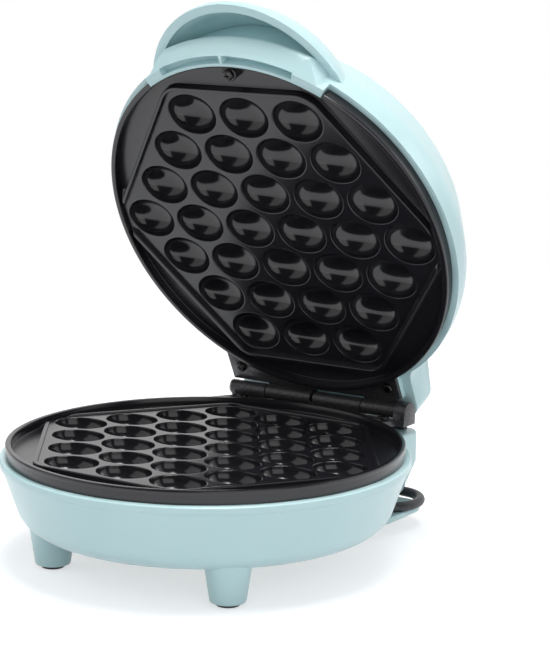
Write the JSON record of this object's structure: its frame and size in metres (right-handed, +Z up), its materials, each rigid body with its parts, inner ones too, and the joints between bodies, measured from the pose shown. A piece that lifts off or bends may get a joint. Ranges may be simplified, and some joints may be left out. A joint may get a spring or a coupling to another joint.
{
  "type": "bubble waffle maker",
  "caption": "Round hinged electric bubble waffle maker, lid open, with facing non-stick plates of oval cells, front handle hood and wound mains cord.",
  "frame": {"origin": "on the table under the middle of the open appliance, without its cord", "axes": "+Z up, +Y towards the hinge at the back, +X to the right seen from the front"},
  "size_m": [0.206, 0.3041, 0.2784],
  "materials": {
    "aqua_plastic": "smooth moulded plastic, soft gloss",
    "nonstick": "cast aluminium with a black non-stick coat, satin",
    "element_steel": "sheathed tube, matt",
    "sheet_aluminium": "mill finish",
    "hinge_metal": "black satin coat",
    "steel": "zinc plated",
    "pad_rubber": "matt",
    "cord_rubber": "matt",
    "bakelite": "matt",
    "wire_sleeve": "woven glass sleeve",
    "lamp_glass": "clear",
    "red_lens": "clear tinted",
    "green_lens": "clear tinted",
    "blade_brass": "bright"
  },
  "bodies": {
    "base": {"base_hinge_bracket": "hinge_metal", "base_hinge_screws": "steel", "base_shell": "aqua_plastic", "base_wires": "wire_sleeve", "cord_clamp": "cord_rubber", "cord_coil": "cord_rubber", "cord_gland": "cord_rubber", "cord_wrap_tray": "aqua_plastic", "hinge_pin": "steel", "lower_heating_element": "element_steel", "lower_plate": "nonstick", "lower_plate_screws": "steel", "lower_reflector": "sheet_aluminium", "pin_clip": "steel", "plug_blades": "blade_brass", "plug_body": "cord_rubber", "power_cord": "cord_rubber", "rubber_feet": "pad_rubber", "supply_lead": "cord_rubber", "terminal_block": "bakelite", "terminal_screws": "steel", "thermostat": "bakelite", "thermostat_clip": "steel", "thermostat_screws": "steel", "tray_screws": "steel"},
    "lid": {"lid_shell": "aqua_plastic", "handle_liner": "aqua_plastic", "upper_plate": "nonstick", "upper_plate_screw": "steel", "upper_heating_element": "element_steel", "upper_reflector": "sheet_aluminium", "lid_hinge_bracket": "hinge_metal", "lid_hinge_screws": "steel", "thermal_fuse": "wire_sleeve", "fuse_clip": "steel", "lamp_holder": "bakelite", "neon_lamps": "lamp_glass", "power_lamp_lens": "red_lens", "ready_lamp_lens": "green_lens", "lid_wires": "wire_sleeve"}
  },
  "joints": [
    {"name": "lid_hinge", "type": "hinge", "parent": "base", "child": "lid", "pos_m": [0, 0.0895, 0.0627], "axis": [-1, 0, 0], "range_deg": [-63.7, 28]}
  ]
}
